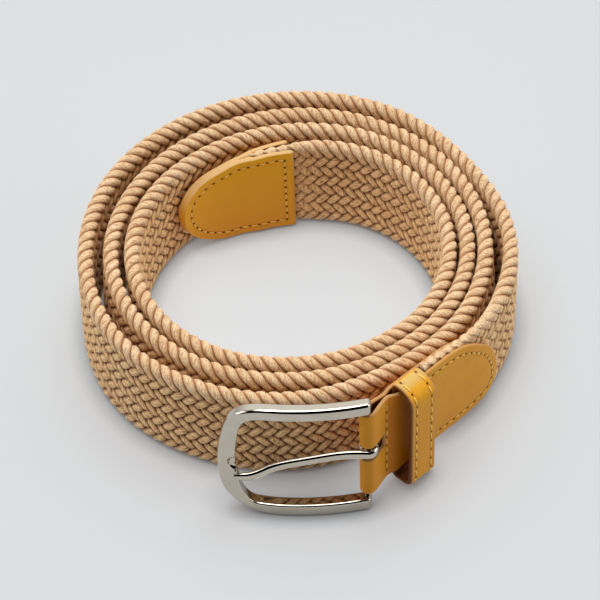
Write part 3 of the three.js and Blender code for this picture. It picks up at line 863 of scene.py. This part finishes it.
def keeper_outline(offset):
    """Loop of points and outward normals in the across and up plane, offset from the outer face."""
    k = KEEPER
    corners = [
        (k["front"], k["bottom"], k["bottom_front"], -1, 1, -90),
        (k["front"], k["top"], k["top_front"], -1, -1, 0),
        (k["back"], k["top"], k["back_corner"], 1, -1, 90),
        (k["back"], k["bottom"], k["back_corner"], 1, 1, 180),
    ]
    points, normals = [], []
    for x, z, radius, way_x, way_z, start in corners:
        around = unit_circle(np.radians(start + np.linspace(0, 90, 15)))
        centre = np.array([x + way_x * radius, z + way_z * radius])
        points.append(centre + around * (radius - offset))
        normals.append(around)
    return np.concatenate(points), np.concatenate(normals)


def fill_loop(points, normals, step):
    """Adds points to the straight runs of a closed loop."""
    full_points, full_normals = [], []
    for a, b, normal, ahead in zip(points, np.roll(points, -1, 0), normals, np.roll(normals, -1, 0)):
        count = max(int(np.linalg.norm(b - a) / step), 1)
        shares = np.arange(count)[:, None] / count
        full_points.append(a + (b - a) * shares)
        full_normals.append(unit(normal + (ahead - normal) * shares))
    return np.concatenate(full_points), np.concatenate(full_normals)


def build_keeper():
    k = KEEPER
    bearing = np.array([LAST_TURN + k["bearing"]])
    foot = np.append(path_point(bearing)[0], 0.0)
    across = np.append(path_normal(bearing)[0], 0.0)
    along = np.array([across[1], -across[0], k["slope"]])
    middle, normals = fill_loop(*keeper_outline(k["wall"] / 2), LOOP_STEP)

    def stand(plane, row):
        """Points of the across and up plane, at row millimetres along the belt."""
        return foot + plane[..., :1] * across + plane[..., 1:] * UP + row[..., None] * along

    half = k["along"] / 2
    rows = ease(22, -half, half)
    gap = half - np.abs(rows)
    thick = rounded_half(gap, {"thickness": k["wall"], "rounding": k["rounding"]})
    groove = np.exp(-((gap - k["seam_inset"]) / KEEPER_GROOVE["half_width"]) ** 2)
    count, size = len(middle), len(rows)
    row = np.broadcast_to(rows, (count, size))
    sides = [stand(middle[:, None, :] + normals[:, None, :] * raised[:, None], row).reshape(-1, 3)
             for raised in (thick - KEEPER_GROOVE["depth"] * groove, -thick)]
    i, j = np.meshgrid(np.arange(count), np.arange(size - 1), indexing="ij")
    a = (i * size + j).ravel()
    b = (((i + 1) % count) * size + j).ravel()
    quads = np.stack([a, b, b + 1, a + 1], -1)
    faces = np.concatenate([quads, quads[:, ::-1] + count * size])
    # The bare cut takes the flesh tone, the leather's own, dark enough to be also painted shade on the
    # keeper's side
    cut = 1 - smooth_step(gap / k["rounding"], *KEEPER_RIM["cut"])
    edge = (1 - smooth_step(gap / k["rounding"], *KEEPER_RIM["paint"])) * (1 - cut)
    # Painted sheen where the loop's face turns upwards
    worn = np.repeat(smooth_step(normals[:, 1], *KEEPER_SHEEN), size)
    inside = np.zeros(count * size)
    shade = {"edge": np.concatenate([np.tile(edge, count), inside]),
             "groove": np.concatenate([np.tile(groove, count), inside]),
             "flesh": np.concatenate([np.tile(cut, count), inside + 1]),
             "worn": np.tile(worn, 2)}
    lengths = lengths_along(middle)
    flat = np.stack([np.repeat(lengths, size), np.tile(rows, count)], -1)
    piece = face_out(make_mesh("keeper_leather", np.concatenate(sides), [faces], shade,
                               np.tile(flat, (2, 1))))
    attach(piece, "strap")
    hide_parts("keeper_loop")

    def surface(flat, raised):
        out = unit(interp_points(flat[:, 0], lengths, normals))
        lifted = out * (k["wall"] / 2 - STITCH_SINK + raised)[:, None]
        return stand(interp_points(flat[:, 0], lengths, middle) + lifted, flat[:, 1])

    # Stitches run up the front and over the top, where the loop shows
    top = lengths[np.argmax(middle[:, 1])]
    shown = np.linspace(KEEPER_SEAM_FROM, top + k["seam_past_top"], 60)
    seams = [(np.stack([shown, np.full(60, place)], -1), SEAM_PITCH["keeper"])
             for place in (half - k["seam_inset"], k["seam_inset"] - half)]
    stitch_row("keeper_stitch", seams, surface, "strap")


# Metal

FRAME_RINGS = 440
PRONG_RINGS = 180


def frame_front(x):
    return FRAME_BOW["front_y"] + (x - FRAME_BOW["apex_x"]) ** 2 / (2 * FRAME_BOW["radius"])


def dense_curve(rows, count):
    """Smooth resampling of table rows by the length of the line through their first columns."""
    rows = np.asarray(rows, float)
    keys = lengths_along(rows[:, :3])
    places = np.linspace(0, keys[-1], count)
    return np.stack([smooth_table(list(zip(keys, column)))(places) for column in rows.T], -1)


def rounded_section(width, depth, near_corner, far_corner, per_corner, per_flat=1):
    """Points round a rectangle of a width and a depth, with near and far corners across the width."""
    arcs = []
    for far, back, start in ((True, False, -90), (True, True, 0), (False, True, 90), (False, False, 180)):
        corner = far_corner if far else near_corner
        x = width - corner if far else corner
        y = depth - corner if back else corner
        around = unit_circle(np.radians(start + np.linspace(0, 90, per_corner)))
        arcs.append(np.array([x, y]) + corner * around)
    points = []
    for arc, following in zip(arcs, arcs[1:] + arcs[:1]):
        points.append(arc)
        steps = np.arange(1, per_flat)[:, None] / per_flat
        points.append(arc[-1] + (following[0] - arc[-1]) * steps)
    return np.concatenate(points)


def end_share(place, length, radius):
    """How much of its section a rod keeps near its rounded ends."""
    gap = min(place, length - place)
    return math.sqrt(max(1 - (1 - min(gap / radius, 1)) ** 2, 0.0))


def build_frame():
    rows = dense_curve(FRAME_TABLE, FRAME_RINGS)
    lengths = lengths_along(rows[:, :2])
    rings = []
    for row, place in zip(rows, lengths):
        outer, inner = row[:2], row[2:4]
        width = np.linalg.norm(inner - outer)
        section = rounded_section(width, FRAME_DEPTH, FRAME_ROUNDING["outer"], FRAME_ROUNDING["inner"],
                                  per_corner=10, per_flat=22)
        inset = FRAME_ROUNDING["end"] * (1 - end_share(place, lengths[-1], FRAME_ROUNDING["end"]))
        middle = np.array([width / 2, FRAME_DEPTH / 2])
        section = middle + (section - middle) * (1 - inset / middle)
        flat = outer + (inner - outer) * (section[:, :1] / width)
        y = frame_front(flat[:, 0]) + section[:, 1]
        from_rest = np.hypot((flat[:, 0] - REST["x"]) / REST["half_x"],
                             (flat[:, 1] - REST["z"]) / REST["half_z"])
        front = np.clip(1 - section[:, 1] / (FRAME_DEPTH * REST["reach"]), 0, 1)
        y += REST["depth"] * np.clip(1 - from_rest ** 6, 0, 1) * front
        rings.append(np.stack([flat[:, 0], y, flat[:, 1]], -1))
    hoop = capped_tube("buckle_hoop", rings)
    turns = np.arange(BAR["sides"]) * 2 * math.pi / BAR["sides"]
    circle = BAR_AXIS + BAR["radius"] * unit_circle(turns)
    rod = capped_tube("hinge_bar", [np.column_stack([circle, turns * 0 + z]) for z in BAR["levels"]])
    for piece in (hoop, rod):
        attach(piece, "frame")
        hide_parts("buckle_frame")


def build_prong():
    turns = np.radians(np.linspace(PRONG["ring_from"], PRONG["ring_to"], 13))
    curl = BAR_AXIS + PRONG["ring_radius"] * unit_circle(turns)
    rows = PRONG_TABLE + [(x, y, PRONG["ring_z"], 1.0) for x, y in curl]
    line = dense_curve(rows, PRONG_RINGS)
    ways = unit(np.gradient(line[:, :2], axis=0))
    corner = PRONG["corner"]
    section = rounded_section(2 * corner, PRONG["height"], corner, corner, per_corner=12)
    section = (section - (corner, PRONG["height"] / 2)) * (PRONG["thickness"] / (2 * corner), 1)
    lengths = lengths_along(line[:, :3])
    rings = []
    for (x, y, z, size), way, place in zip(line, ways, lengths):
        kept = end_share(place, lengths[-1], PRONG["end_round"])
        kept = kept * (1 - PRONG["blunt_end"]) + PRONG["blunt_end"]
        out, lift = section.T * size * kept
        rings.append(np.stack([x - way[1] * out, y + way[0] * out, z + lift], -1))
    piece = capped_tube("prong_metal", rings)
    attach(piece, "prong")
    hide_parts("buckle_prong")


# Materials, with tones as screen colours of 0 to 255

# The hollow tones are painted shade in the hollows between the cords
CORD_TONES = {"face": (255, 214, 158), "face_patch": (252, 204, 146), "hollow": (94, 36, 8),
              # The edge tones, paler and less orange than the face tones, are painted light where the
              # cords wrap over the band's edges, the top one facing up; edge_hollow is a lighter painted
              # shade there
              "edge": (236, 206, 166), "edge_patch": (230, 196, 152), "edge_hollow": (170, 112, 68),
              "yarn": (170, 114, 68), "speck": (176, 122, 74), "sheen": (250, 230, 200)}
# Low and high tones: the leather painted browner below and yellower above, as painted shade and light
STRAP_TONES = {"low": (215, 142, 34), "high": (224, 154, 26), "edge": (188, 140, 88)}
# The tip has the strap's leather, painted lighter and yellower: painted light for the light it gets
# inside the coil
TIP_TONES = {"low": (232, 156, 44), "high": (255, 194, 4), "edge": (214, 172, 116)}
# Of these, the pale tan tone is a painted sheen on the keeper's top, and the dark orange one painted
# shadow under the keeper
LEATHER_TONES = {"patch": (244, 178, 30), "deep": (208, 124, 4), "worn": (206, 170, 98),
                 # The groove tone is painted shade in the seams' grooves
                 "groove": (160, 92, 12), "flesh": (120, 66, 30)}
THREAD_TONES = ((252, 194, 78), (255, 212, 108))
# The holes' dark browns are painted shade inside the pierced holes
HOLE_TONES = ((104, 54, 10), (76, 38, 6))
METAL_TONES = ((194, 186, 171), (200, 192, 178))
FLOOR_TONES = ((127, 138, 141), (129, 140, 143))
# The floor's own light, even outside; inside the coil, a painted pool of light
FLOOR_GLOW = {"outside": (227, 218, 217), "inside": (223, 217, 217), "strength": 0.58,
              "more_inside": 0.1}

# In metres: how high the leather reaches, for its painted light and shade, and the strip of floor under
# the buckle, which gets a painted shadow
LEATHER_HEIGHT = 0.045
BUCKLE_SHADE = {"place": (0.002, -0.0615, 0), "shrink": (1 / 0.034, 1 / 0.013, 0)}


def srgb(tone):
    """Linear colour from a screen colour."""
    linear = lambda v: v / 12.92 if v <= 0.04045 else ((v + 0.055) / 1.055) ** 2.4
    return tuple(linear(v / 255) for v in tone) + (1.0,)


class Nodes:
    """Short names for the nodes of a material or of the world."""

    def __init__(self, tree):
        self.tree = tree

    def node(self, kind, inputs=None, **settings):
        node = self.tree.nodes.new(kind)
        for key, value in settings.items():
            setattr(node, key, value)
        for key, value in (inputs or {}).items():
            socket = node.inputs[key]
            if isinstance(value, bpy.types.NodeSocket):
                self.tree.links.new(value, socket)
            else:
                socket.default_value = value
        return node

    def coordinates(self, kind="Object"):
        return self.node("ShaderNodeTexCoord").outputs[kind]

    def math(self, operation, a, b):
        return self.node("ShaderNodeMath", {0: a, 1: b}, operation=operation).outputs[0]

    def vector(self, operation, *values):
        node = self.node("ShaderNodeVectorMath", dict(enumerate(values)), operation=operation)
        return node.outputs["Value" if operation in ("LENGTH", "DOT_PRODUCT") else "Vector"]

    def mix(self, factor, low, high):
        return self.node("ShaderNodeMix", {0: factor, 6: low, 7: high}, data_type="RGBA").outputs[2]

    def ramp(self, value, *stops):
        node = self.node("ShaderNodeValToRGB", {"Fac": value})
        elements = node.color_ramp.elements
        while len(elements) < len(stops):
            elements.new(0.5)
        for element, (place, shade) in zip(elements, stops):
            element.position = place
            element.color = (shade, shade, shade, 1)
        return node.outputs["Color"]


class Shader(Nodes):
    """One material, with its surface's settings."""

    def __init__(self, name, settings):
        self.material = bpy.data.materials.new(name)
        self.material.use_nodes = True
        super().__init__(self.material.node_tree)
        self.principled = self.tree.nodes["Principled BSDF"]
        for socket, value in settings.items():
            self.principled.inputs[socket].default_value = value

    def link(self, output, socket):
        self.tree.links.new(output, self.principled.inputs[socket])

    def attribute(self, name):
        return self.node("ShaderNodeAttribute", attribute_name=name).outputs["Fac"]

    def noise(self, scale, detail, roughness, vector=None):
        inputs = {"Scale": scale, "Detail": detail, "Roughness": roughness, "Distortion": 0.0}
        inputs["Vector"] = vector or self.coordinates()
        return self.node("ShaderNodeTexNoise", inputs).outputs["Fac"]

    def bump(self, height, distance, strength):
        inputs = {"Height": height, "Distance": distance, "Strength": strength}
        self.link(self.node("ShaderNodeBump", inputs).outputs["Normal"], "Normal")


def cord_material():
    tones = {key: srgb(tone) for key, tone in CORD_TONES.items()}
    m = Shader("braided_cord", {"Roughness": 0.85, "Specular IOR Level": 0.2, "Sheen Weight": 0.2,
                                "Sheen Roughness": 0.5, "Sheen Tint": tones["sheen"]})
    uv = m.node("ShaderNodeUVMap", uv_map="UVMap").outputs["UV"]
    # Fine yarns run slanting round each cord
    slanted = m.node("ShaderNodeMapping", {"Vector": uv, "Scale": (1.0, CORD_GIRTH, 1.0),
                                           "Rotation": (0, 0, math.radians(24))})
    slanted = slanted.outputs["Vector"]
    drawn_out = m.node("ShaderNodeMapping", {"Vector": slanted, "Scale": (0.6, 2.9, 1.0)})
    yarn = m.noise(1.0, 2, 0.5, drawn_out.outputs["Vector"])
    fuzz = m.noise(1500, 3, 0.7)
    uneven = m.ramp(m.noise(110, 2, 0.5), (0.35, 0.0), (0.65, 1.0))
    face = m.mix(uneven, tones["face"], tones["face_patch"])
    edge = m.mix(uneven, tones["edge"], tones["edge_patch"])
    # Painted light: where the cords wrap over the band's edges they take the paler edge tones
    lit = m.mix(m.attribute("rim"), face, edge)
    hollow = m.mix(m.attribute("rim"), tones["hollow"], tones["edge_hollow"])
    # Painted shade: points that stand back in the hollows take the hollow tone
    base = m.mix(m.ramp(m.attribute("proud"), (0.74, 0.0), (0.96, 1.0)), hollow, lit)
    lined = m.mix(m.ramp(yarn, (0.36, 0.75), (0.5, 0.0)), base, tones["yarn"])
    speckled = m.mix(m.ramp(fuzz, (0.36, 0.5), (0.5, 0.0)), lined, tones["speck"])
    m.link(speckled, "Base Color")
    m.bump(m.math("ADD", m.math("MULTIPLY", yarn, 0.5), m.math("MULTIPLY", fuzz, 0.6)), 0.0004, 0.9)
    return m.material


def leather_material(name, own_tones):
    tones = {key: srgb(tone) for key, tone in {**LEATHER_TONES, **own_tones}.items()}
    m = Shader(name, {"Specular IOR Level": 0.12})
    grain = {"Vector": m.coordinates(), "Scale": 1500.0, "Randomness": 1.0}
    grain = m.node("ShaderNodeTexVoronoi", grain, feature="SMOOTH_F1").outputs["Distance"]
    # Painted light and shade: yellower above, where the light falls, and browner below
    above = m.node("ShaderNodeSeparateXYZ", {0: m.coordinates()}).outputs["Z"]
    high = m.ramp(m.math("MULTIPLY", above, 1 / LEATHER_HEIGHT), (0.1, 0.0), (0.95, 1.0))
    tone = m.mix(high, tones["low"], tones["high"])
    tone = m.mix(m.ramp(m.noise(45, 3, 0.55), (0.35, 0.0), (0.65, 0.3)), tone, tones["patch"])
    # Painted shade: the keeper's shadow on the strap
    tone = m.mix(m.attribute("deep"), tone, tones["deep"])
    # Painted sheen on the keeper's top, a paler tone
    tone = m.mix(m.attribute("worn"), tone, tones["worn"])
    # Painted shade in the seam grooves
    tone = m.mix(m.math("MULTIPLY", m.attribute("groove"), 0.3), tone, tones["groove"])
    # The flesh tone is the back's own; on the keeper's cut edge it also stands for painted shade
    tone = m.mix(m.attribute("flesh"), tone, tones["flesh"])
    m.link(m.mix(m.attribute("edge"), tone, tones["edge"]), "Base Color")
    m.link(m.ramp(m.noise(400, 3, 0.6), (0.3, 0.36), (0.7, 0.5)), "Roughness")
    fine = m.noise(3500, 3, 0.6)
    m.bump(m.math("ADD", m.math("MULTIPLY", grain, 0.7), m.math("MULTIPLY", fine, 0.3)), 0.0001, 0.6)
    return m.material


def thread_material():
    m = Shader("gold_thread", {"Roughness": 0.6})
    twist = m.noise(5200, 2, 0.5)
    m.link(m.mix(m.ramp(twist, (0.4, 0.0), (0.6, 1.0)), *map(srgb, THREAD_TONES)), "Base Color")
    m.bump(twist, 0.00001, 0.5)
    return m.material


# Pierced holes: a dark cup, painted shade where each hole goes in
def hole_material():
    m = Shader("pierced_hole", {"Roughness": 0.9, "Specular IOR Level": 0.05})
    m.link(m.mix(m.noise(2200, 2, 0.5), *map(srgb, HOLE_TONES)), "Base Color")
    return m.material


def metal_material():
    m = Shader("polished_nickel", {"Metallic": 1.0})
    wear = m.ramp(m.noise(160, 4, 0.6), (0.4, 0.0), (0.65, 1.0))
    m.link(m.mix(wear, *map(srgb, METAL_TONES)), "Base Color")
    m.link(m.ramp(m.noise(700, 3, 0.6), (0.35, 0.03), (0.7, 0.07)), "Roughness")
    m.bump(m.noise(900, 2, 0.5), 0.00001, 0.15)
    return m.material


def floor_material():
    m = Shader("pale_floor", {"Roughness": 0.8, "Specular IOR Level": 0.0})
    m.link(m.mix(m.noise(2.0, 2, 0.5), *map(srgb, FLOOR_TONES)), "Base Color")
    # Light of its own keeps the shadows faint, but not where something stands on the floor
    reach = m.node("ShaderNodeAmbientOcclusion", {"Distance": 0.006}, samples=6).outputs["AO"]
    # Painted shadow: the floor's own light is dimmed on the strip under the buckle, the most closed in
    place = m.coordinates()
    off = m.vector("MULTIPLY", m.vector("SUBTRACT", place, BUCKLE_SHADE["place"]), BUCKLE_SHADE["shrink"])
    away = m.ramp(m.vector("LENGTH", off), (0.0, 0.5), (0.6, 0.62), (1.0, 1.0))
    # A painted pool of light: inside the coil the floor's own light is stronger and a little cooler, as
    # light thrown about there would make it
    within = m.vector("LENGTH", m.vector("SUBTRACT", place, (*COIL_CENTRE * MM, 0)))
    inside = m.ramp(m.math("MULTIPLY", within, 10.0), (0.42, 1.0), (0.62, 0.0))
    glow = [srgb(FLOOR_GLOW[key]) for key in ("outside", "inside")]
    m.link(m.mix(inside, *glow), "Emission Color")
    strength = m.math("MULTIPLY", inside, FLOOR_GLOW["more_inside"])
    strength = m.math("ADD", strength, FLOOR_GLOW["strength"])
    m.link(m.math("MULTIPLY", m.math("MULTIPLY", reach, away), strength), "Emission Strength")
    return m.material


def dress(piece, material):
    piece.data.materials.clear()
    piece.data.materials.append(material)


def dress_all():
    """Gives each piece the material of the first rule that its name's start and end fit."""
    metal = metal_material()
    rules = [
        ("braid_cords", "", cord_material()),
        # The tip's leather is a lit copy of the strap's, with painted light
        ("tip", "_leather", leather_material("tip_leather", TIP_TONES)),
        ("", "_leather", leather_material("strap_leather", STRAP_TONES)),
        ("", "_thread", thread_material()),
        ("", "_holes", hole_material()),
        ("buckle_hoop", "", metal),
        ("hinge_bar", "", metal),
        ("prong_metal", "", metal),
    ]
    for piece in list(bpy.context.scene.objects):
        if piece.type != "MESH" or piece.name in frame["nodes"]:
            continue
        for start, end, material in rules:
            if piece.name.startswith(start) and piece.name.endswith(end):
                dress(piece, material)
                break


# Stage, light and camera, in metres

FLOOR_HALF = 3.0
FLOOR_LEVEL = -0.0002

# Which way the studio is dark, where the camera and the room stand, and which way it is bright
DARK_WAY = (0.0, -0.77, 0.64)
BRIGHT_WAY = (0.0, 0.72, 0.69)
DARK_WIDTH = 3.8
ROOM_LIGHT = 0.6
BACK_LIGHT = 0.5
COOL_LIGHT = (0.95, 0.97, 1.0)
LAMPS = [
    {"name": "overhead", "place": (-0.06, 0.06, 1.0), "aim": (0, 0, 0), "size": (1.1, 0.5),
     "power": 9.0, "colour": (1, 1, 1)},
    {"name": "side_lamp_1", "place": (-0.9, -0.1, 0.35), "aim": (0, 0, 0.02), "size": (0.7, 0.5),
     "power": 1.7, "colour": COOL_LIGHT},
    {"name": "side_lamp_2", "place": (0.9, -0.1, 0.35), "aim": (0, 0, 0.02), "size": (0.7, 0.5),
     "power": 2.7, "colour": COOL_LIGHT},
]


def build_stage():
    corners = [(-FLOOR_HALF, -FLOOR_HALF, 0), (FLOOR_HALF, -FLOOR_HALF, 0),
               (FLOOR_HALF, FLOOR_HALF, 0), (-FLOOR_HALF, FLOOR_HALF, 0)]
    mesh = bpy.data.meshes.new("floor")
    mesh.from_pydata(corners, [], [(0, 1, 2, 3)])
    floor = bpy.data.objects.new("floor", mesh)
    bpy.context.scene.collection.objects.link(floor)
    floor.location.z = FLOOR_LEVEL
    dress(floor, floor_material())


def add_lamp(shape):
    light = bpy.data.lights.new(shape["name"], "AREA")
    light.shape = "RECTANGLE"
    light.size, light.size_y = shape["size"]
    light.energy = shape["power"]
    light.color = shape["colour"]
    lamp = bpy.data.objects.new(shape["name"], light)
    lamp.location = shape["place"]
    way = Vector(shape["aim"]) - Vector(shape["place"])
    lamp.rotation_euler = way.to_track_quat("-Z", "Y").to_euler()
    bpy.context.scene.collection.objects.link(lamp)


def build_light():
    world = bpy.data.worlds.new("studio")
    bpy.context.scene.world = world
    world.use_nodes = True
    sky = Nodes(world.node_tree)
    background = world.node_tree.nodes["Background"]
    way = sky.coordinates("Generated")
    # Narrowed sideways, so that the dark part of the room is wider than it is high
    narrowed = sky.vector("NORMALIZE", sky.vector("MULTIPLY", way, (1 / DARK_WIDTH, 1, 1)))
    to_dark = sky.vector("DOT_PRODUCT", narrowed, Vector(DARK_WAY).normalized())
    to_bright = sky.vector("DOT_PRODUCT", way, Vector(BRIGHT_WAY).normalized())
    room = sky.ramp(to_dark, (0.0, ROOM_LIGHT), (0.5, ROOM_LIGHT), (0.72, 0.01), (1.0, 0.0))
    back = sky.ramp(to_bright, (0.0, 0.0), (0.55, 0.0), (0.9, BACK_LIGHT), (1.0, BACK_LIGHT))
    world.node_tree.links.new(sky.vector("ADD", room, back), background.inputs["Color"])
    background.inputs["Strength"].default_value = 1.0
    for shape in LAMPS:
        add_lamp(shape)


def build_camera():
    camera = bpy.data.cameras.new("camera")
    camera.sensor_width = SENSOR_WIDTH
    camera.lens = SENSOR_WIDTH * FOCAL_PIXELS / PHOTO_PIXELS
    camera.clip_start = 0.05
    item = bpy.data.objects.new("camera", camera)
    turn = Matrix.Rotation(math.radians(90 - CAMERA_DOWN), 4, "X") @ Matrix.Rotation(
        math.radians(-CAMERA_ROLL), 4, "Z")
    item.matrix_world = Matrix.Translation(Vector(CAMERA_PLACE) * MM) @ turn
    bpy.context.scene.collection.objects.link(item)
    bpy.context.scene.camera = item


build_camera()
build_cords()
build_tip()
build_strap()
build_keeper()
build_frame()
build_prong()
dress_all()
build_stage()
build_light()
bpy.context.scene.view_settings.view_transform = "Standard"
